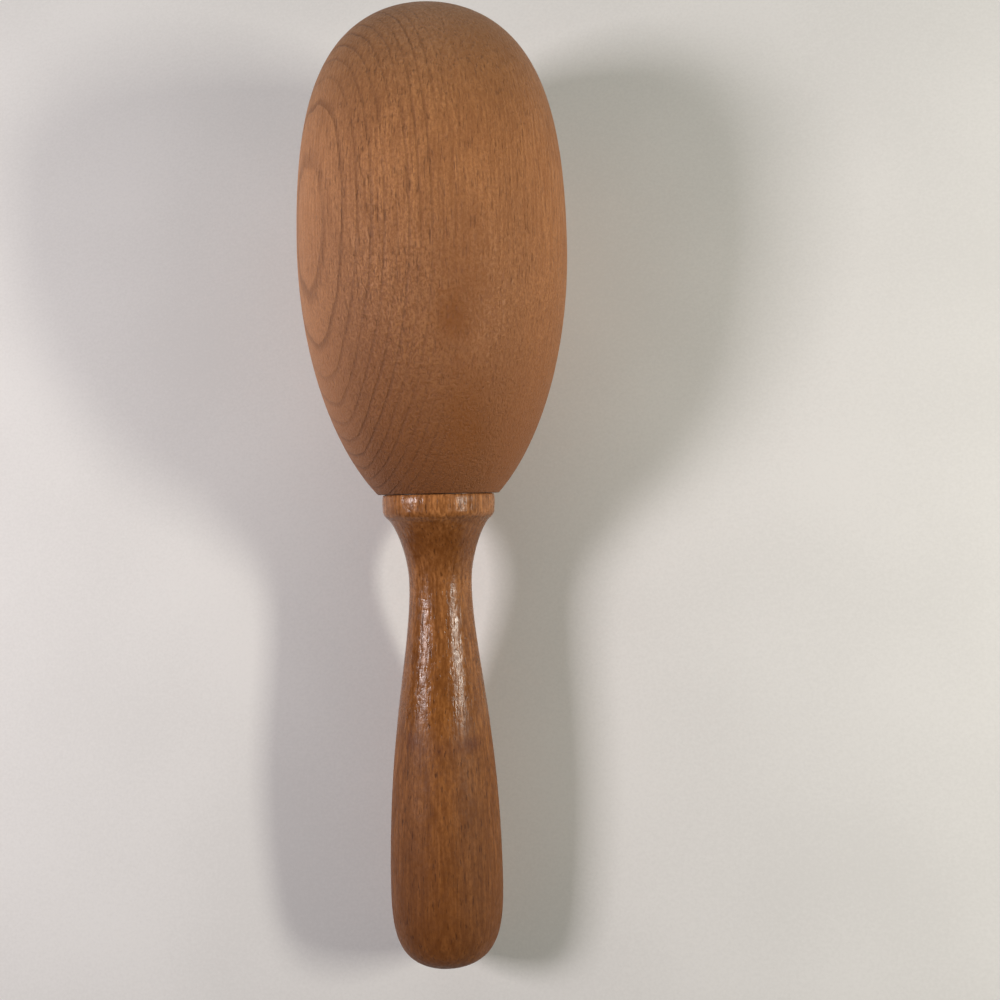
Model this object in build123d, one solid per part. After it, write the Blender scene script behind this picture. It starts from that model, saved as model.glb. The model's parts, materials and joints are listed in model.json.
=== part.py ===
"""Darning egg: an egg-shaped wooden head glued onto a turned wooden handle, lying on a table.

Both pieces are turned about one axis. They are drawn upright in a sketch whose X is minus the
station, the distance along the turning axis from the nose, and whose Y is the radius. The joined
object is then laid down on the head's belly and the handle's swell, nose towards +Y, with the
origin on the table under the middle of its box.
"""

import os
from math import atan2, cos, degrees, radians, sin

from build123d import *

# Driving dimensions, in mm. Stations are distances from the nose along the turning axis.
OVERALL_LENGTH = 152.4
HEAD_LENGTH = 77.0

# Head: an egg cut off flat where it meets the handle.
GIRTH_STATION = 37.5
GIRTH_RADIUS = 21.65
NOSE_BLUNTNESS = 16.5
NOSE_FULLNESS = 24.7
TAIL_FULLNESS = 16.9
HEAD_END_RADIUS = 9.75
HEAD_END_SLOPE = 42.5
HEAD_END_PULL = 10.4
HEAD_RIM_ROUNDING = 0.4

# Joint: a round tenon on the handle, glued into a blind hole drilled into the head's flat end.
SOCKET_DIAMETER = 9.5
SOCKET_DEPTH = 20.0
DRILL_POINT_ANGLE = 118.0
TENON_LENGTH = 19.0
TENON_CHAMFER = 0.8
GLUE_THICKNESS = 0.1
GLUE_SETBACK = 0.35

# Handle: collar, cove, slim neck, long swell and rounded butt.
COLLAR_RADIUS = 9.0
COLLAR_LENGTH = 3.2
COLLAR_TOP_ROUNDING = 0.25
COLLAR_FOOT_ROUNDING = 1.4
COVE_SLOPE = 48.0
COVE_RADIUS = 8.2
COVE_PULL = 1.65
NECK_STATION = 91.6
NECK_RADIUS = 5.05
NECK_PULL_COVE = 4.6
NECK_PULL_SWELL = 11.0
SWELL_STATION = 140.0
SWELL_RADIUS = 9.05
SWELL_PULL_NECK = 25.0
SWELL_PULL_BUTT = 10.1
BUTT_BLUNTNESS = 6.9

OUTLINE_SAMPLES = 400
SETTLING_ROUNDS = 8


def at(station, radius):
    """A point of the turning outline."""
    return Vector(-station, radius)


def stepped(point, length, slope):
    """The point reached by going this far towards the butt, down towards the axis at this slope."""
    angle = radians(slope)
    return point + Vector(-length * cos(angle), -length * sin(angle))


def head_outline():
    """The egg's two curves: nose to girth, and girth to the flat end."""
    nose = at(0, 0)
    girth = at(GIRTH_STATION, GIRTH_RADIUS)
    end = at(HEAD_LENGTH, HEAD_END_RADIUS)
    front = Bezier(
        nose,
        at(0, NOSE_BLUNTNESS),
        at(GIRTH_STATION - NOSE_FULLNESS, GIRTH_RADIUS),
        girth,
    )
    back = Bezier(
        girth,
        at(GIRTH_STATION + TAIL_FULLNESS, GIRTH_RADIUS),
        stepped(end, -HEAD_END_PULL, HEAD_END_SLOPE),
        end,
    )
    return [front, back]


def grip_outline():
    """The handle's three curves: cove, swell and butt."""
    cove_start = at(cove_station(), COVE_RADIUS)
    neck = at(NECK_STATION, NECK_RADIUS)
    widest = at(SWELL_STATION, SWELL_RADIUS)
    butt = at(OVERALL_LENGTH, 0)
    cove = Bezier(
        cove_start,
        stepped(cove_start, COVE_PULL, COVE_SLOPE),
        at(NECK_STATION - NECK_PULL_COVE, NECK_RADIUS),
        neck,
    )
    swell = Bezier(
        neck,
        at(NECK_STATION + NECK_PULL_SWELL, NECK_RADIUS),
        at(SWELL_STATION - SWELL_PULL_NECK, SWELL_RADIUS),
        widest,
    )
    end = Bezier(
        widest,
        at(SWELL_STATION + SWELL_PULL_BUTT, SWELL_RADIUS),
        at(OVERALL_LENGTH, BUTT_BLUNTNESS),
        butt,
    )
    return [cove, swell, end]


def collar_foot_station():
    """Where the collar's straight side would meet its sloping underside, before rounding."""
    return HEAD_LENGTH + GLUE_THICKNESS + COLLAR_LENGTH


def cove_station():
    """Where the collar's underside turns into the cove."""
    drop = COLLAR_RADIUS - COVE_RADIUS
    angle = radians(COVE_SLOPE)
    return collar_foot_station() + drop * cos(angle) / sin(angle)


def turned(outline):
    """The solid that a closed outline sweeps when it is turned about its axis."""
    return revolve(make_face(outline), Axis.X)


def corner_ring(solid, station, radius):
    """The circular edge of a turned solid nearest to this point of its outline."""
    here = Vector(-station, 0, 0)
    rings = solid.edges().filter_by(GeomType.CIRCLE)
    return min(rings, key=lambda edge: (edge.arc_center - here).length + abs(edge.radius - radius))


def egg_head():
    """The egg-shaped head, with the blind hole for the tenon."""
    front, back = head_outline()
    flat = Line(back @ 1, at(HEAD_LENGTH, 0))
    axis = Line(at(HEAD_LENGTH, 0), front @ 0)
    egg = turned([front, back, flat, axis])
    egg = fillet(corner_ring(egg, HEAD_LENGTH, HEAD_END_RADIUS), HEAD_RIM_ROUNDING)
    socket_radius = SOCKET_DIAMETER / 2
    half_point = radians(DRILL_POINT_ANGLE / 2)
    point_depth = socket_radius * cos(half_point) / sin(half_point)
    hole = Polyline(
        at(HEAD_LENGTH, 0),
        at(HEAD_LENGTH, socket_radius),
        at(HEAD_LENGTH - SOCKET_DEPTH, socket_radius),
        at(HEAD_LENGTH - SOCKET_DEPTH - point_depth, 0),
        close=True,
    )
    return egg - turned(hole)


def handle():
    """The handle: tenon, collar, cove, neck, swell and butt, turned from one stick."""
    cove, swell, end = grip_outline()
    tenon_radius = SOCKET_DIAMETER / 2 - GLUE_THICKNESS
    shoulder = HEAD_LENGTH + GLUE_THICKNESS
    tip = HEAD_LENGTH - TENON_LENGTH
    tenon_and_collar = Polyline(
        end @ 1,
        at(tip, 0),
        at(tip, tenon_radius),
        at(shoulder, tenon_radius),
        at(shoulder, COLLAR_RADIUS),
        at(collar_foot_station(), COLLAR_RADIUS),
        cove @ 0,
    )
    stick = turned([tenon_and_collar, cove, swell, end])
    stick = fillet(corner_ring(stick, collar_foot_station(), COLLAR_RADIUS), COLLAR_FOOT_ROUNDING)
    stick = fillet(corner_ring(stick, shoulder, COLLAR_RADIUS), COLLAR_TOP_ROUNDING)
    return chamfer(corner_ring(stick, tip, tenon_radius), TENON_CHAMFER)


def glue_film():
    """The hardened glue: a thin sleeve round the tenon and a thin ring under the collar."""
    socket_radius = SOCKET_DIAMETER / 2
    tenon_radius = socket_radius - GLUE_THICKNESS
    sleeve_start = HEAD_LENGTH - TENON_LENGTH + TENON_CHAMFER
    ring_radius = COLLAR_RADIUS - GLUE_SETBACK
    section = Polyline(
        at(sleeve_start, tenon_radius),
        at(sleeve_start, socket_radius),
        at(HEAD_LENGTH, socket_radius),
        at(HEAD_LENGTH, ring_radius),
        at(HEAD_LENGTH + GLUE_THICKNESS, ring_radius),
        at(HEAD_LENGTH + GLUE_THICKNESS, tenon_radius),
        close=True,
    )
    return turned(section)


def outline_points(curves):
    """Points along the outline's curves, close together."""
    steps = [step / OUTLINE_SAMPLES for step in range(OUTLINE_SAMPLES + 1)]
    return [curve @ step for curve in curves for step in steps]


def drop_below_nose(point, dip):
    """How far an outline point hangs below the nose when the axis dips towards the butt."""
    return -point.X * sin(dip) + point.Y * cos(dip)


def resting_dip(head_points, grip_points):
    """The dip of the axis, in radians, with head and swell both touching the table."""
    dip = 0.0
    for _ in range(SETTLING_ROUNDS):
        belly = max(head_points, key=lambda point: drop_below_nose(point, dip))
        swell = max(grip_points, key=lambda point: drop_below_nose(point, dip))
        dip = atan2(belly.Y - swell.Y, belly.X - swell.X)
    return dip


def resting_place():
    """The location that lays the upright-drawn object on the table, centred on the origin."""
    head_points = outline_points(head_outline())
    grip_points = outline_points(grip_outline())
    dip = resting_dip(head_points, grip_points)
    both = head_points + grip_points
    height = max(drop_below_nose(point, dip) for point in both)
    along = [point.X * cos(dip) + side * point.Y * sin(dip) for point in both for side in (-1, 1)]
    middle = (max(along) + min(along)) / 2
    nose_to_y = Location((0, 0, 0), (0, 0, 90))
    tilted = Location((0, 0, 0), (degrees(dip), 0, 0))
    print("axis dips", round(degrees(dip), 3), "degrees, nose at", round(-middle, 3), round(height, 3))
    return Location((0, -middle, height)) * tilted * nose_to_y


def main():
    """Write one STEP file per piece."""
    os.makedirs("parts", exist_ok=True)
    place = resting_place()
    pieces = {"egg_head": egg_head(), "handle": handle(), "glue_film": glue_film()}
    for name, piece in pieces.items():
        export_step(place * piece, f"parts/{name}.step")


main()
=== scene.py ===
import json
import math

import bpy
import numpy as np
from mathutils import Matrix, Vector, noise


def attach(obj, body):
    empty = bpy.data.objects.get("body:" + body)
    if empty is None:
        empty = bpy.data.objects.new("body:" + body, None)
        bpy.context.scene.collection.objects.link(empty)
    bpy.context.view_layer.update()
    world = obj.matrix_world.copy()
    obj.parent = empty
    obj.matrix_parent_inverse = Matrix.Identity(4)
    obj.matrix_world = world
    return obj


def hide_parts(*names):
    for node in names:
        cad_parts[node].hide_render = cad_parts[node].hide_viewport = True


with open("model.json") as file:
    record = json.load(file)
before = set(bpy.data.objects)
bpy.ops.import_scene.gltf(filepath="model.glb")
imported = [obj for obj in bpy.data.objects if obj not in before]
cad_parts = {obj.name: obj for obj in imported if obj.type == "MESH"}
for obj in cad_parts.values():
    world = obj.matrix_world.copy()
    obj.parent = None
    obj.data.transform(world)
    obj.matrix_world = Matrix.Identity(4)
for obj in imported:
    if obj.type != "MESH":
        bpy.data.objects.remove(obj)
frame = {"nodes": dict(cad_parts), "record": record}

# A darning egg: a bare wooden egg on a varnished handle, lying on a pale table. One lamp stands on
# its left, one on its right and one beyond its nose.
#
# Lengths are in metres, apart from the wood's patterns, which are in millimetres. The two turned
# pieces are built in the turning frame: its origin is the nose, +Y points from the butt to the
# nose, and +Z points up, leaning towards the camera. A station is a distance from the nose.

MM = 0.001
TURN = 2 * math.pi

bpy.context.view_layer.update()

# ---------------------------------------------------------------------------------------------
# The turning frame
# ---------------------------------------------------------------------------------------------

nose_mount = next(m for m in frame["record"]["mounts"] if m["name"] == "mending_face")
NOSE = Vector(nose_mount["pos_m"])
TO_NOSE = Vector(nose_mount["axis"]).normalized()
LEAN = math.radians(8)
LEVEL = Vector((1.0, 0.0, 0.0))
STEEP = LEVEL.cross(TO_NOSE).normalized()
ACROSS = LEVEL * math.cos(LEAN) - STEEP * math.sin(LEAN)
FACING = ACROSS.cross(TO_NOSE).normalized()
TURNING_AXES = Matrix((ACROSS, TO_NOSE, FACING)).transposed()
TURNING_FRAME = Matrix.Translation(NOSE) @ TURNING_AXES.to_4x4()


def cad_outline(node):
    """The stations and radii of a turned CAD node's vertices."""
    to_turning = TURNING_FRAME.inverted()
    points = np.array([to_turning @ v.co for v in frame["nodes"][node].data.vertices])
    return -points[:, 1], np.hypot(points[:, 0], points[:, 2])


# How the CAD's round faces are told apart. A point lies on a face when it has nearly the face's
# radius, and on the collar's side when it has very nearly the collar's. The shoulder is the first
# place well wider than the tenon. The collar is widest within the first reach of the shoulder, and
# its side ends within the second. Its upper face counts as rim from this share of its radius.
NEARLY = 0.99
VERY_NEARLY = 0.999
WIDER_THAN_TENON = 1.2
COLLAR_TOP_REACH = 2 * MM
COLLAR_REACH = 6 * MM
RIM_SHARE = 0.95

HEAD_STATIONS, HEAD_RADII = cad_outline("egg_head")
HANDLE_STATIONS, HANDLE_RADII = cad_outline("handle")
HEAD_LENGTH = HEAD_STATIONS.max()
OVERALL_LENGTH = HANDLE_STATIONS.max()
GIRTH_RADIUS = HEAD_RADII.max()
TENON_TIP = HANDLE_STATIONS.min()
TENON_RADIUS = HANDLE_RADII[HANDLE_STATIONS < HEAD_LENGTH].max()
SHOULDER = HANDLE_STATIONS[HANDLE_RADII > WIDER_THAN_TENON * TENON_RADIUS].min()
COLLAR_RADIUS = HANDLE_RADII[HANDLE_STATIONS < SHOULDER + COLLAR_TOP_REACH].max()
collar_side = HANDLE_RADII > VERY_NEARLY * COLLAR_RADIUS
collar_side &= HANDLE_STATIONS < SHOULDER + COLLAR_REACH
# The station where the collar's side turns into the cove.
COLLAR_FOOT = HANDLE_STATIONS[collar_side].max()

# ---------------------------------------------------------------------------------------------
# Smooth outlines through the CAD's points
# ---------------------------------------------------------------------------------------------

KNOT_GAP = 0.06 * MM
MIRRORED_KNOTS = 6
FINE_STEP = 0.02 * MM


def knots(stations, radii):
    """Outline points in order along the axis, at least KNOT_GAP apart."""
    chosen = []
    for index in np.lexsort((radii, stations)):
        point = np.array([stations[index], radii[index]])
        if not chosen or np.linalg.norm(point - chosen[-1]) >= KNOT_GAP:
            chosen.append(point)
    return np.array(chosen)


def mirrored(points, at_start):
    """Points with some repeated across the axis, so that a spline meets the axis squarely."""
    flip = np.array([1.0, -1.0])
    on_axis = points[:, 1] < KNOT_GAP / 2
    points = points[~on_axis]
    if at_start:
        return np.vstack([points[:MIRRORED_KNOTS][::-1] * flip, points])
    return np.vstack([points, points[-MIRRORED_KNOTS:][::-1] * flip])


def natural_spline(points, step):
    """Points close together along the natural cubic spline through these points."""
    chords = np.linalg.norm(np.diff(points, axis=0), axis=1)
    places = np.concatenate([[0.0], np.cumsum(chords)])
    count = len(points)
    matrix = np.eye(count)
    right = np.zeros((count, 2))
    slopes = np.diff(points, axis=0) / chords[:, None]
    for row in range(1, count - 1):
        before, after = chords[row - 1], chords[row]
        matrix[row, row - 1:row + 2] = before, 2 * (before + after), after
        right[row] = 6 * (slopes[row] - slopes[row - 1])
    bends = np.linalg.solve(matrix, right)
    wanted = np.arange(0.0, places[-1], step)
    span = np.clip(np.searchsorted(places, wanted, side="right") - 1, 0, count - 2)
    length = chords[span][:, None]
    left = (places[span + 1] - wanted)[:, None]
    done = (wanted - places[span])[:, None]
    return (
        (bends[span] * left ** 3 + bends[span + 1] * done ** 3) / (6 * length)
        + (points[span] / length - bends[span] * length / 6) * left
        + (points[span + 1] / length - bends[span + 1] * length / 6) * done
    )


def spread(points, step, turn):
    """Fewer points of a dense outline: one for each step of length or turn of direction."""
    moves = np.diff(points, axis=0)
    lengths = np.linalg.norm(moves, axis=1)
    headings = np.unwrap(np.arctan2(moves[:, 1], moves[:, 0]))
    turns = np.abs(np.diff(headings, prepend=headings[0]))
    travelled = np.concatenate([[0.0], np.cumsum(lengths / step + turns / turn)])
    wanted = np.linspace(0.0, travelled[-1], round(travelled[-1]) + 1)
    return np.stack([np.interp(wanted, travelled, points[:, axis]) for axis in (0, 1)], 1)


def straight(start, end, step):
    """Points from start to end, without start."""
    start, end = np.array(start), np.array(end)
    count = max(1, round(np.linalg.norm(end - start) / step))
    return np.array([start + (end - start) * (index / count) for index in range(1, count + 1)])


# ---------------------------------------------------------------------------------------------
# Turned meshes
# ---------------------------------------------------------------------------------------------


def turned_mesh(name, outline, segments, worn):
    """A closed mesh of revolution whose outline starts and ends on the axis.

    worn(station, radius, angle) moves a surface point, to give what the lathe and use left.
    """
    rings = outline[1:-1]
    vertices = [(0.0, -outline[0, 0], 0.0)]
    for station, radius in rings:
        for segment in range(segments):
            angle = TURN * segment / segments
            place, reach = worn(station, radius, angle)
            vertices.append((reach * math.cos(angle), -place, reach * math.sin(angle)))
    vertices.append((0.0, -outline[-1, 0], 0.0))
    last = len(vertices) - 1
    faces = []
    for segment in range(segments):
        after = (segment + 1) % segments
        faces.append((0, 1 + segment, 1 + after))
        for ring in range(len(rings) - 1):
            here, there = 1 + ring * segments, 1 + (ring + 1) * segments
            faces.append((here + after, here + segment, there + segment, there + after))
        end = 1 + (len(rings) - 1) * segments
        faces.append((last, end + after, end + segment))
    mesh = bpy.data.meshes.new(name)
    mesh.from_pydata(vertices, [], faces)
    mesh.validate()
    mesh.polygons.foreach_set("use_smooth", [True] * len(mesh.polygons))
    mesh.transform(TURNING_FRAME)
    piece = bpy.data.objects.new(name, mesh)
    bpy.context.scene.collection.objects.link(piece)
    return piece


def bump_at(station, angle, place, heading, length, width):
    """1 in the middle of a spot on the head's surface, falling to 0 outside it."""
    along = (station - place) / length
    around = math.remainder(angle - heading, TURN) * GIRTH_RADIUS / width
    return math.exp(-along * along - around * around)


# Small dents in the bare egg: station, angle from the turning frame's +X, length, width and depth.
HEAD_DENTS = [
    (73.8 * MM, 0.85, 1.0 * MM, 0.5 * MM, 0.16 * MM),
    (26.0 * MM, 2.10, 0.8 * MM, 0.45 * MM, 0.12 * MM),
    (12.8 * MM, 1.30, 0.6 * MM, 0.6 * MM, 0.10 * MM),
    (75.9 * MM, 1.04, 0.5 * MM, 0.6 * MM, 0.10 * MM),
]
HEAD_LOBING = 0.03 * MM
HEAD_LOBE_LENGTH = 18 * MM


def worn_head(station, radius, angle):
    """The egg isn't quite round, and has a few small dents. Its socket and flat end stay true."""
    if radius < COLLAR_RADIUS and station > HEAD_LENGTH / 2:
        return station, radius
    around = Vector((math.cos(angle), station / HEAD_LOBE_LENGTH, math.sin(angle)))
    reach = radius + HEAD_LOBING * noise.noise(around) * radius / GIRTH_RADIUS
    for place, heading, length, width, depth in HEAD_DENTS:
        reach -= depth * bump_at(station, angle, place, heading, length, width)
    return station, reach


# The waves in the collar's foot: their height, their noise's reach round the handle and starting
# place, and how far along the handle they reach. Then the ripple's height, length and width.
FOOT_WAVE = 0.10 * MM
FOOT_WAVES_ROUND = 3.0
FOOT_WAVE_START = 1.7
FOOT_REACH = 1.3 * MM
RIPPLE = 0.012 * MM
RIPPLE_LENGTH = 2.6 * MM
RIPPLE_WIDTH = 1.3 * MM


def worn_handle(station, radius, angle):
    """The collar's foot wanders a little, and the varnish lies over raised grain."""
    if station <= SHOULDER:
        return station, radius
    foot = math.exp(-((station - COLLAR_FOOT) / FOOT_REACH) ** 2)
    around = Vector((math.cos(angle), math.sin(angle), 0.0)) * FOOT_WAVES_ROUND
    around.z = FOOT_WAVE_START
    place = station + FOOT_WAVE * foot * noise.noise(around)
    surface = Vector((math.cos(angle), 0.0, math.sin(angle))) * (radius / RIPPLE_WIDTH)
    surface.y = station / RIPPLE_LENGTH
    return place, radius + RIPPLE * noise.noise(surface) * min(1.0, radius / TENON_RADIUS)


# The meshes' fineness: the steps along each outline, the most that it turns between two rings, the
# step on hidden faces, and the segments round each piece.
HEAD_STEP = 0.45 * MM
HANDLE_STEP = 0.36 * MM
RING_TURN = math.radians(5)
HIDDEN_STEP = 1.5 * MM
HEAD_SEGMENTS = 336
HANDLE_SEGMENTS = 208


def egg_head():
    """The bare wooden egg, with its drilled socket."""
    outer = (HEAD_STATIONS < HEAD_LENGTH / 2) | (HEAD_RADII > COLLAR_RADIUS)
    points = mirrored(knots(HEAD_STATIONS[outer], HEAD_RADII[outer]), at_start=True)
    skin = natural_spline(points, FINE_STEP)
    skin = skin[skin[:, 1] > 0]
    skin = spread(np.vstack([[[0.0, 0.0]], skin]), HEAD_STEP, RING_TURN)
    socket_radius = HEAD_RADII[~outer].max()
    socket_floor = HEAD_STATIONS[~outer & (HEAD_RADII > NEARLY * socket_radius)].min()
    drill_point = HEAD_STATIONS[~outer].min()
    mouth = (HEAD_LENGTH, socket_radius)
    corner = (socket_floor, socket_radius)
    outline = np.vstack([
        skin,
        straight(skin[-1], mouth, HIDDEN_STEP),
        straight(mouth, corner, HIDDEN_STEP),
        straight(corner, (drill_point, 0.0), HIDDEN_STEP),
    ])
    return turned_mesh("egg_head_wood", outline, HEAD_SEGMENTS, worn_head)


def turned_handle():
    """The varnished handle, with its tenon."""
    rim = HANDLE_RADII > RIM_SHARE * COLLAR_RADIUS
    shown = (HANDLE_STATIONS > SHOULDER - KNOT_GAP) & rim
    shown |= HANDLE_STATIONS > SHOULDER + KNOT_GAP
    points = mirrored(knots(HANDLE_STATIONS[shown], HANDLE_RADII[shown]), at_start=False)
    skin = natural_spline(points, FINE_STEP)
    skin = skin[skin[:, 1] > 0]
    butt = [[OVERALL_LENGTH, 0.0]]
    skin = spread(np.vstack([skin, butt]), HANDLE_STEP, RING_TURN)
    tip_radius = HANDLE_RADII[HANDLE_STATIONS < TENON_TIP + KNOT_GAP].max()
    chamfer_end = HANDLE_STATIONS[HANDLE_RADII > NEARLY * TENON_RADIUS].min()
    tip = (TENON_TIP, 0.0)
    tip_edge = (TENON_TIP, tip_radius)
    tenon_start = (chamfer_end, TENON_RADIUS)
    tenon_end = (SHOULDER, TENON_RADIUS)
    outline = np.vstack([
        [tip],
        straight(tip, tip_edge, HIDDEN_STEP),
        straight(tip_edge, tenon_start, HIDDEN_STEP),
        straight(tenon_start, tenon_end, HIDDEN_STEP),
        straight(tenon_end, skin[0], HIDDEN_STEP),
        skin[1:],
    ])
    return turned_mesh("handle_wood", outline, HANDLE_SEGMENTS, worn_handle)


# ---------------------------------------------------------------------------------------------
# Materials
# ---------------------------------------------------------------------------------------------


class Shader:
    """One material's node tree, with short ways to add and join nodes."""

    def __init__(self, name):
        self.material = bpy.data.materials.new(name)
        self.material.use_nodes = True
        self.tree = self.material.node_tree
        self.tree.nodes.clear()

    def add(self, kind, inputs=None, **settings):
        """A node of this kind, with its settings made and its inputs fed."""
        node = self.tree.nodes.new("ShaderNode" + kind)
        for name, value in settings.items():
            setattr(node, name, value)
        for name, value in (inputs or {}).items():
            self.feed(node.inputs[name], value)
        return node

    def feed(self, socket, value):
        """Links a socket to another node's output, or sets its value."""
        if isinstance(value, bpy.types.NodeSocket):
            self.tree.links.new(value, socket)
        else:
            socket.default_value = value

    def calculate(self, operation, *values):
        """The result of a Math node."""
        node = self.add("Math", dict(enumerate(values)), operation=operation)
        return node.outputs[0]

    def vector(self, operation, *values):
        """The result of a Vector Math node."""
        node = self.add("VectorMath", dict(enumerate(values)), operation=operation)
        return node.outputs[0]

    def rescale(self, value, low, high, new_low=0.0, new_high=1.0):
        """value, eased from new_low at low to new_high at high, and held there outside."""
        names = ("Value", "From Min", "From Max", "To Min", "To Max")
        inputs = dict(zip(names, (value, low, high, new_low, new_high)))
        return self.add("MapRange", inputs, interpolation_type="SMOOTHSTEP").outputs[0]

    def mix(self, amount, first, second):
        """The colour between two colours."""
        node = self.add("Mix", {0: amount, 6: first, 7: second}, data_type="RGBA")
        return node.outputs[2]

    def noise(self, place, detail=2.0, roughness=0.5):
        """Noise of about one bump per unit of place."""
        inputs = {"Vector": place, "Scale": 1.0, "Detail": detail, "Roughness": roughness}
        return self.add("TexNoise", inputs).outputs[0]


def rgb(red, green, blue):
    """A linear colour with full alpha."""
    return (red, green, blue, 1.0)


# Colours of the bare egg.
PALE_WOOD = rgb(0.575, 0.258, 0.098)
BROWN_WOOD = rgb(0.228, 0.079, 0.023)
PORE_BROWN = rgb(0.085, 0.026, 0.008)
RING_BROWN = rgb(0.110, 0.034, 0.010)
# Painted sheen: the left lamp's light on the egg's left flank.
LEFT_SHEEN_PINK = rgb(0.680, 0.330, 0.160)
RIGHT_SIDE_BROWN = rgb(0.420, 0.150, 0.040)
# Painted shade on the egg's nose.
NOSE_SHADE_BROWN = rgb(0.195, 0.092, 0.034)
STAIN = rgb(0.260, 0.082, 0.012)

# Colours of the varnished handle.
AMBER = rgb(0.435, 0.170, 0.046)
UMBER = rgb(0.150, 0.046, 0.009)
PORE_DARK = rgb(0.050, 0.014, 0.005)
NECK_TAN = rgb(0.560, 0.240, 0.090)
# Partly painted light: the collar's tan is lightened where the side lamps fall full on it.
COLLAR_TAN_AND_LIGHT = rgb(0.720, 0.310, 0.110)
SMUDGE = rgb(0.110, 0.026, 0.010)

# Patterns: size across and along the axis in millimetres, the noise's detail and roughness, and
# the noise values where the pattern starts and where it is full.
HEAD_BLOTCH = ((7.0, 12.0), 4.0, 0.60, (0.32, 0.70))
HEAD_FIBRE = ((0.42, 9.0), 2.0, 0.50, (0.34, 0.68))
HEAD_SPECK = ((0.31, 0.52), 2.0, 0.65, (0.36, 0.66))
HEAD_PORES = ((0.26, 2.2), 1.0, 0.50, (0.60, 0.72))
HANDLE_STREAK = ((0.90, 12.0), 3.0, 0.60, (0.32, 0.70))
HANDLE_FIBRE = ((0.42, 5.0), 2.0, 0.50, (0.34, 0.68))
HANDLE_SPECK = ((0.42, 0.9), 2.0, 0.60, (0.38, 0.68))
HANDLE_PORES = ((0.25, 1.9), 1.0, 0.50, (0.61, 0.73))
GLUE_CLOUD = ((0.8, 0.8), 2.0, 0.50, (0.30, 0.70))

# How strongly each pattern darkens the wood, and how far it dents or raises the surface.
HEAD_TINTS = {"blotch": 0.30, "fibre": 0.48, "speck": 0.72, "pores": 0.50, "lines": 0.47}
HEAD_DENTING = {"speck": -1.0, "fibre": -0.8, "pores": -1.0, "lines": -1.0}
HANDLE_TINTS = {"lines": 0.40, "streak": 0.50, "fibre": 0.55, "speck": 0.50, "pores": 0.60}
HANDLE_DENTING = {"ripple": 1.6, "pores": -0.2, "fibre": -0.25}

# Growth rings, in millimetres: where the tree's heart runs beside the axis, in X and Z, the rings'
# width, their waves (size across and along the axis, and height), and the size across and along
# the axis of the patches where their lines are faint or strong.
HEAD_RINGS = ((51.4, -29.6), 1.15, ((16.0, 80.0, 0.9), (2.5, 20.0, 0.16)), (20.0, 50.0))
HANDLE_RINGS = ((24.0, -30.0), 1.10, ((9.0, 60.0, 1.2), (1.6, 16.0, 0.30)), (16.0, 50.0))

# A ring's dark line, as parts of the ring's width, and its strength where faint and strong.
LINE_STARTS = 0.66
LINE_DARKEST = 0.93
LINE_FADES = 0.95
LINE_NOISE = (0.25, 0.72)
LINE_STRENGTH = (0.35, 1.0)
RING_SHUFFLE = 7.31

# Slow changes across (X) or along (Y) the axis: the two places in millimetres, and the value at
# each. The egg's rings show most on its left, its fibre is combed straighter towards the nose, and
# it is darker towards its tail and towards its right side. Its left flank is lighter and pinker,
# which is a painted sheen from the left lamp, and its nose is darker, which is painted shade where
# little light reaches it.
QUARTERED_X = (-3.0, 6.0, 1.0, 0.25)
COMBED_Y = (-50.0, -34.0, 0.45, 1.0)
GRAINY_Y = (-50.0, -30.0, 1.0, 0.65)
TAIL_Y = (-HEAD_LENGTH / MM, -0.45 * HEAD_LENGTH / MM, 0.90, 0.0)
LEFT_SHEEN_X = (-20.0, -6.0, 0.40, 0.0)
RIGHT_SIDE_X = (-2.0, 12.0, 0.0, 0.32)
NOSE_SHADE_Y = (-30.0, -3.0, 0.0, 0.60)

# The handle is darker at its butt and paler at its neck and collar; the collar's paleness is partly
# its own tan and partly painted light, where the side lamps fall full on it. Its varnish is rubbed a
# little on its right side, and worn dull over the swell.
BUTT_Y = (-OVERALL_LENGTH / MM, -0.66 * OVERALL_LENGTH / MM, 0.64, 0.0)
NECK_Y = (-112.0, -90.0, 0.0, 0.45)
COLLAR_FADE = 1.5
COLLAR_Y = (-COLLAR_FOOT / MM - COLLAR_FADE, -COLLAR_FOOT / MM, 0.0, 0.75)
RUBBED_X = (0.5, 4.0, 0.0, 0.07)
WORN_Y = (-110.0, -117.5, 0.0, 0.32)

# Spots: the middle and the size in millimetres, and the strength.
HEAD_STAINS = [
    ((3.9, -52.2, 20.5), (4.2, 5.5, 8.0), 0.85),
    ((6.0, -47.0, 20.5), (7.0, 9.0, 9.0), 0.40),
    ((5.5, -67.0, 16.0), (5.5, 13.0, 9.0), 0.60),
]
HANDLE_SMUDGES = [
    ((-4.4, -115.6, 5.5), (2.4, 2.4, 3.5), 0.60),
    ((4.1, -116.2, 5.5), (3.2, 2.0, 3.5), 0.75),
    ((0.0, -116.6, 7.0), (7.5, 1.8, 5.0), 0.22),
]
# Painted shade: the cove under the collar is darkened where little light reaches it.
COVE_SHADE = [((0.0, -84.5, 0.0), (30.0, 7.0, 30.0), 0.70)]

HEAD_RELIEF = 0.07 * MM
HEAD_ROUGHNESS = (0.10, 0.50)
HEAD_SPECULAR = 0.35

# The varnish's small squiggles and wide ripples, and its roughness between two squiggle heights.
VARNISH_SQUIGGLE = ((0.70, 1.0), 2.0, 0.55)
VARNISH_RIPPLE = ((2.0, 3.4), 0.0, 0.50)
VARNISH_RELIEF = 0.070 * MM
VARNISH_ROUGHNESS = (0.30, 0.70, 0.16, 0.30)
VARNISH_SPECULAR = 0.32

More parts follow.
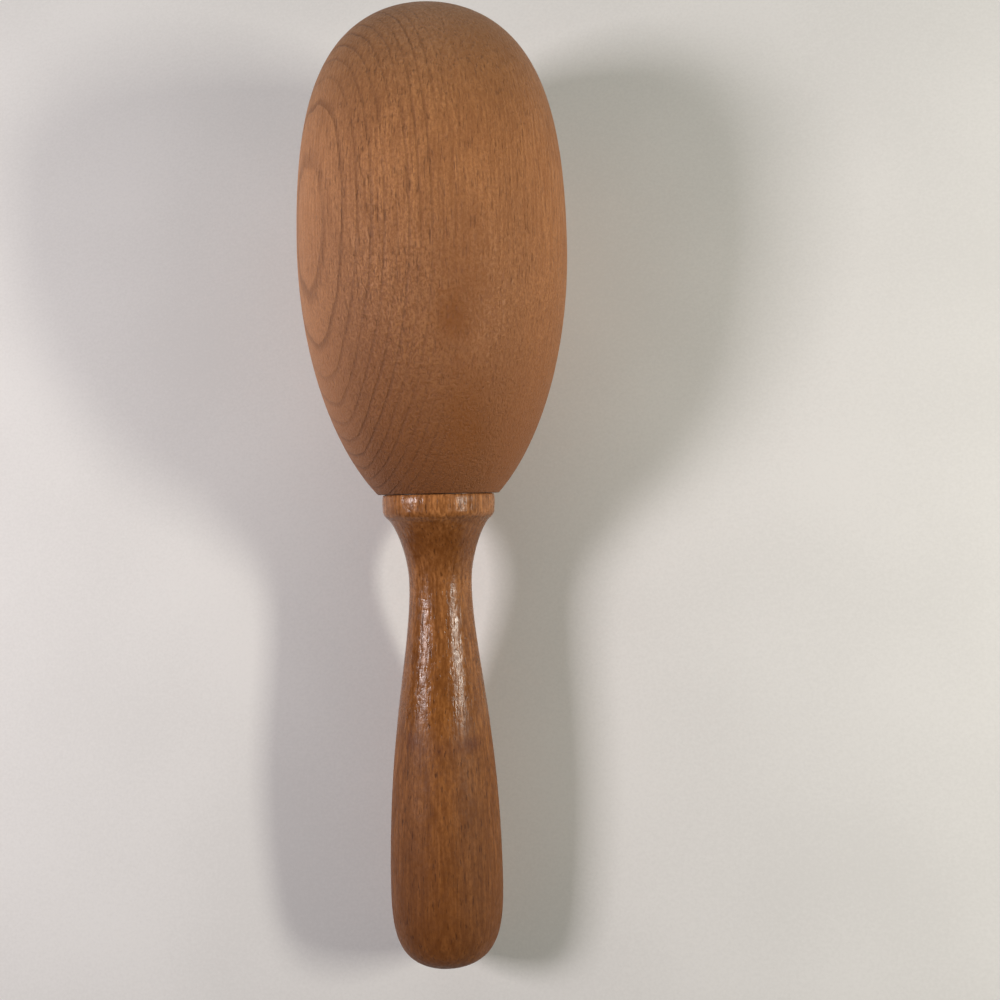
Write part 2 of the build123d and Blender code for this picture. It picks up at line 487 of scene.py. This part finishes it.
# The glue's near-black colours are partly painted shade of the joint's gap.
GLUE_AND_SHADE_COLOURS = (rgb(0.030, 0.012, 0.006), rgb(0.075, 0.032, 0.014))
GLUE_ROUGHNESS = (0.20, 0.35)

TABLE_MOTTLE = ((0.5, 0.5), 3.0, 0.50)
TABLE_CLOUD = ((30.0, 30.0), 1.0, 0.50)
TABLE_SHARE = 0.5
TABLE_LIMITS = (0.30, 0.70)
TABLE_COLOURS = (rgb(0.77, 0.77, 0.76), rgb(0.83, 0.83, 0.82))
TABLE_ROUGHNESS = 0.8


def grain_place(shader):
    """The surface's place in the turning frame, in millimetres."""
    inputs = {
        "Vector": shader.add("TexCoord").outputs["Object"],
        "Location": NOSE,
        "Rotation": TURNING_AXES.to_euler(),
        "Scale": (MM, MM, MM),
    }
    return shader.add("Mapping", inputs, vector_type="TEXTURE").outputs[0]


def stretched(shader, place, across, along):
    """place squeezed so that one unit is this many millimetres across and along the axis."""
    return shader.vector("DIVIDE", place, (across, along, across))


def waves(shader, place, size, detail, roughness):
    """Noise of this size across and along the axis."""
    return shader.noise(stretched(shader, place, *size), detail, roughness)


def pattern(shader, place, size, detail, roughness, limits):
    """0 to 1: noise of this size, eased between these two of its values."""
    return shader.rescale(waves(shader, place, size, detail, roughness), *limits)


def centred(shader, value, size):
    """A noise value moved to lie around 0 and scaled to about this much either way."""
    return shader.calculate("MULTIPLY_ADD", value, 2 * size, -size)


def ring_distance(shader, place, heart, ring_waves):
    """The wavy distance from the tree's heart, which runs along the axis beside the piece."""
    flat = shader.vector("MULTIPLY", place, (1.0, 0.0, 1.0))
    away = shader.vector("SUBTRACT", flat, (heart[0], 0.0, heart[1]))
    distance = shader.add("VectorMath", {0: away}, operation="LENGTH").outputs["Value"]
    for across, along, size in ring_waves:
        wave = shader.noise(stretched(shader, place, across, along), detail=1.0)
        distance = shader.calculate("ADD", distance, centred(shader, wave, size))
    return distance


def late_wood(shader, place, heart, width, ring_waves, patch_size):
    """1 on the thin dark line that ends each growth ring, with lines of unequal strength."""
    distance = ring_distance(shader, place, heart, ring_waves)
    rings = shader.calculate("DIVIDE", distance, width)
    within = shader.calculate("FRACT", rings)
    number = shader.calculate("FLOOR", rings)
    rise = shader.rescale(within, LINE_STARTS, LINE_DARKEST)
    fall = shader.rescale(within, LINE_FADES, 1.0, 1.0, 0.0)
    line = shader.calculate("MULTIPLY", rise, fall)
    shuffled = shader.calculate("MULTIPLY", number, RING_SHUFFLE)
    which = shader.add("CombineXYZ", {"X": shuffled}).outputs[0]
    lookup = shader.vector("ADD", which, stretched(shader, place, *patch_size))
    patches = shader.noise(lookup, detail=1.0)
    strength = shader.rescale(patches, *LINE_NOISE, *LINE_STRENGTH)
    return shader.calculate("MULTIPLY", line, strength)


def bump(shader, height, distance):
    """A surface normal bent by this height."""
    return shader.add("Bump", {"Height": height, "Distance": distance}).outputs[0]


def finished(shader, inputs):
    """The material, with one shiny surface of these inputs."""
    surface = shader.add("BsdfPrincipled", inputs)
    output = shader.add("OutputMaterial")
    shader.tree.links.new(surface.outputs[0], output.inputs[0])
    return shader.material


def tinted(shader, colour, layers):
    """colour with each layer's tint laid on it: an amount, a strength and the tint."""
    for amount, strength, tint in layers:
        colour = shader.mix(shader.calculate("MULTIPLY", amount, strength), colour, tint)
    return colour


def dented(shader, height, layers):
    """height with each layer added to it: an amount and its share."""
    for amount, share in layers:
        height = shader.calculate("MULTIPLY_ADD", amount, share, height)
    return height


def spotted(shader, colour, place, spots, tint):
    """colour with soft-edged egg-shaped spots of this tint."""
    for middle, size, strength in spots:
        away = shader.vector("DIVIDE", shader.vector("SUBTRACT", place, middle), size)
        distance = shader.add("VectorMath", {0: away}, operation="LENGTH").outputs["Value"]
        spot = shader.rescale(distance, 0.0, 1.0, 1.0, 0.0)
        colour = tinted(shader, colour, [(spot, strength, tint)])
    return colour


def bare_wood():
    """Dry, close-grained wood. Its darker nose is painted shade, and its paler left flank a painted
    sheen.
    """
    shader = Shader("bare_wood")
    place = grain_place(shader)
    sideways, along, _ = shader.add("SeparateXYZ", {0: place}).outputs
    lines = late_wood(shader, place, *HEAD_RINGS)
    lines = shader.calculate("MULTIPLY", lines, shader.rescale(sideways, *QUARTERED_X))
    fibre = pattern(shader, place, *HEAD_FIBRE)
    fibre = shader.calculate("MULTIPLY", fibre, shader.rescale(along, *COMBED_Y))
    speck = pattern(shader, place, *HEAD_SPECK)
    speck = shader.calculate("MULTIPLY", speck, shader.rescale(along, *GRAINY_Y))
    pores = pattern(shader, place, *HEAD_PORES)

    blotch = pattern(shader, place, *HEAD_BLOTCH)

    colour = tinted(shader, PALE_WOOD, [
        (blotch, HEAD_TINTS["blotch"], BROWN_WOOD),
        (fibre, HEAD_TINTS["fibre"], BROWN_WOOD),
        (speck, HEAD_TINTS["speck"], BROWN_WOOD),
        (pores, HEAD_TINTS["pores"], PORE_BROWN),
    ])
    colour = shader.mix(shader.rescale(along, *TAIL_Y), colour, BROWN_WOOD)
    # Painted sheen: the left flank is lightened and pinkened in place of the left lamp's sheen.
    colour = shader.mix(shader.rescale(sideways, *LEFT_SHEEN_X), colour, LEFT_SHEEN_PINK)
    # Darker towards the right side.
    colour = shader.mix(shader.rescale(sideways, *RIGHT_SIDE_X), colour, RIGHT_SIDE_BROWN)
    # Painted shade: the nose is darkened where little light reaches it.
    colour = shader.mix(shader.rescale(along, *NOSE_SHADE_Y), colour, NOSE_SHADE_BROWN)
    colour = tinted(shader, colour, [(lines, HEAD_TINTS["lines"], RING_BROWN)])
    colour = spotted(shader, colour, place, HEAD_STAINS, STAIN)

    height = dented(shader, 0.0, [
        (speck, HEAD_DENTING["speck"]),
        (fibre, HEAD_DENTING["fibre"]),
        (pores, HEAD_DENTING["pores"]),
        (lines, HEAD_DENTING["lines"]),
    ])
    inputs = {
        "Base Color": colour,
        "Roughness": shader.calculate("MULTIPLY_ADD", fibre, *HEAD_ROUGHNESS),
        "Normal": bump(shader, height, HEAD_RELIEF),
        "Specular IOR Level": HEAD_SPECULAR,
    }
    return finished(shader, inputs)


def varnished_wood():
    """Stained wood under a thin, uneven coat of old varnish, rubbed dull where the hand holds it."""
    shader = Shader("varnished_wood")
    place = grain_place(shader)
    sideways, along, _ = shader.add("SeparateXYZ", {0: place}).outputs
    lines = late_wood(shader, place, *HANDLE_RINGS)
    streak = pattern(shader, place, *HANDLE_STREAK)
    fibre = pattern(shader, place, *HANDLE_FIBRE)
    speck = pattern(shader, place, *HANDLE_SPECK)
    pores = pattern(shader, place, *HANDLE_PORES)

    colour = shader.mix(shader.rescale(along, *BUTT_Y), AMBER, UMBER)
    colour = shader.mix(shader.rescale(along, *NECK_Y), colour, NECK_TAN)
    # The collar's paler colour is partly painted light from the side lamps.
    colour = shader.mix(shader.rescale(along, *COLLAR_Y), colour, COLLAR_TAN_AND_LIGHT)
    # Painted shade in the cove under the collar.
    colour = spotted(shader, colour, place, COVE_SHADE, UMBER)
    colour = tinted(shader, colour, [
        (lines, HANDLE_TINTS["lines"], UMBER),
        (streak, HANDLE_TINTS["streak"], UMBER),
        (fibre, HANDLE_TINTS["fibre"], UMBER),
        (speck, HANDLE_TINTS["speck"], UMBER),
        (pores, HANDLE_TINTS["pores"], PORE_DARK),
    ])
    colour = spotted(shader, colour, place, HANDLE_SMUDGES, SMUDGE)

    squiggle = waves(shader, place, *VARNISH_SQUIGGLE)
    film = dented(shader, squiggle, [
        (waves(shader, place, *VARNISH_RIPPLE), HANDLE_DENTING["ripple"]),
        (pores, HANDLE_DENTING["pores"]),
        (fibre, HANDLE_DENTING["fibre"]),
    ])
    dullness = shader.rescale(squiggle, *VARNISH_ROUGHNESS)
    dullness = shader.calculate("ADD", dullness, shader.rescale(sideways, *RUBBED_X))
    dullness = shader.calculate("ADD", dullness, shader.rescale(along, *WORN_Y))
    inputs = {
        "Base Color": colour,
        "Roughness": dullness,
        "Normal": bump(shader, film, VARNISH_RELIEF),
        "Specular IOR Level": VARNISH_SPECULAR,
    }
    return finished(shader, inputs)


def glue_and_gap_shade():
    """The glue in the joint, its near-black colour partly painted shade of the gap between egg and
    collar.
    """
    shader = Shader("glue_and_gap_shade")
    cloud = pattern(shader, grain_place(shader), *GLUE_CLOUD)
    colour = shader.mix(cloud, *GLUE_AND_SHADE_COLOURS)
    dullness = shader.calculate("MULTIPLY_ADD", cloud, *GLUE_ROUGHNESS)
    return finished(shader, {"Base Color": colour, "Roughness": dullness})


def tabletop():
    """Pale paper or laminate, with faint mottling."""
    shader = Shader("tabletop")
    place = grain_place(shader)
    mottle = shader.calculate("MULTIPLY", waves(shader, place, *TABLE_MOTTLE), TABLE_SHARE)
    both = dented(shader, mottle, [(waves(shader, place, *TABLE_CLOUD), TABLE_SHARE)])
    colour = shader.mix(shader.rescale(both, *TABLE_LIMITS), *TABLE_COLOURS)
    return finished(shader, {"Base Color": colour, "Roughness": TABLE_ROUGHNESS})


# ---------------------------------------------------------------------------------------------
# The object
# ---------------------------------------------------------------------------------------------


SHARP_ANGLE = math.radians(35)


def placed(piece, node, material):
    """A finished piece that stands for its CAD node."""
    piece.data.materials.append(material)
    piece.data.set_sharp_from_angle(angle=SHARP_ANGLE)
    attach(piece, "root")
    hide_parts(node)


placed(egg_head(), "egg_head", bare_wood())
placed(turned_handle(), "handle", varnished_wood())

# The glue film's dark colour is partly painted shade of the gap at the joint.
glue = frame["nodes"]["glue_film"]
glue.data.materials.clear()
glue.data.materials.append(glue_and_gap_shade())

# ---------------------------------------------------------------------------------------------
# The table, the lamps and the camera
# ---------------------------------------------------------------------------------------------

# The camera's lens and film in millimetres, its station, height over the axis and place beside it
# in the turning frame, and its roll.
LENS = 36.07
FILM_WIDTH = 36.0
CAMERA_STATION = 78.228 * MM
CAMERA_HEIGHT = 162.237 * MM
CAMERA_ASIDE = 9.927 * MM
CAMERA_ROLL = math.radians(1.29)

FLOOR_REACH = 3.0
FLOOR_CELLS = 24

# Each lamp: place, length and height of its face, strength and colour. A white surface at
# LAMP_AIM that faces the lamp squarely looks as bright as the strength.
LAMPS = {
    "left_lamp": ((-0.245, 0.005, 0.262), 0.090, 0.085, 0.650, (1.00, 0.920, 0.930)),
    "right_lamp": ((0.290, -0.010, 0.195), 0.090, 0.026, 0.610, (1.00, 0.955, 0.850)),
    "far_lamp": ((0.0, 0.660, 0.203), 0.470, 0.100, 0.240, (0.95, 1.00, 0.94)),
}
LAMP_AIM = Vector((0.0, 0.0, 0.015))
SKY_COLOUR = (0.018, 0.020, 0.019)


def floor():
    """A large pale table, level with the lowest points of the object."""
    steps = np.linspace(-FLOOR_REACH, FLOOR_REACH, FLOOR_CELLS + 1)
    vertices = [(x, y, 0.0) for y in steps for x in steps]
    row = FLOOR_CELLS + 1
    corners = [line * row + cell for line in range(FLOOR_CELLS) for cell in range(FLOOR_CELLS)]
    faces = [(first, first + 1, first + row + 1, first + row) for first in corners]
    mesh = bpy.data.meshes.new("floor")
    mesh.from_pydata(vertices, [], faces)
    mesh.materials.append(tabletop())
    piece = bpy.data.objects.new("floor", mesh)
    bpy.context.scene.collection.objects.link(piece)


def lamp(name, place, length, height, strength, colour):
    """A soft rectangular lamp aimed at the object's middle, with its length level."""
    light = bpy.data.lights.new(name, "AREA")
    light.shape = "RECTANGLE"
    light.size = length
    light.size_y = height
    light.color = colour
    back = Vector(place) - LAMP_AIM
    light.energy = math.pi ** 2 * back.length_squared * strength
    fixture = bpy.data.objects.new(name, light)
    fixture.location = place
    fixture.rotation_mode = "QUATERNION"
    fixture.rotation_quaternion = back.to_track_quat("Z", "Y")
    fixture.visible_camera = False
    bpy.context.scene.collection.objects.link(fixture)


def camera():
    """A camera nearly straight above, square to the turning axis."""
    lens = bpy.data.cameras.new("camera")
    lens.sensor_width = FILM_WIDTH
    lens.lens = LENS
    right = ACROSS * math.cos(CAMERA_ROLL) - TO_NOSE * math.sin(CAMERA_ROLL)
    top = ACROSS * math.sin(CAMERA_ROLL) + TO_NOSE * math.cos(CAMERA_ROLL)
    place = NOSE - TO_NOSE * CAMERA_STATION + FACING * CAMERA_HEIGHT + ACROSS * CAMERA_ASIDE
    viewer = bpy.data.objects.new("camera", lens)
    turned = Matrix((right, top, FACING)).transposed().to_4x4()
    viewer.matrix_world = Matrix.Translation(place) @ turned
    bpy.context.scene.collection.objects.link(viewer)
    bpy.context.scene.camera = viewer


def sky():
    """Even light from all round the room."""
    world = bpy.data.worlds.new("sky")
    world.use_nodes = True
    background = world.node_tree.nodes["Background"]
    background.inputs["Color"].default_value = (*SKY_COLOUR, 1.0)
    bpy.context.scene.world = world


floor()
for lamp_name, facts in LAMPS.items():
    lamp(lamp_name, *facts)
sky()
camera()
bpy.context.scene.view_settings.view_transform = "Standard"
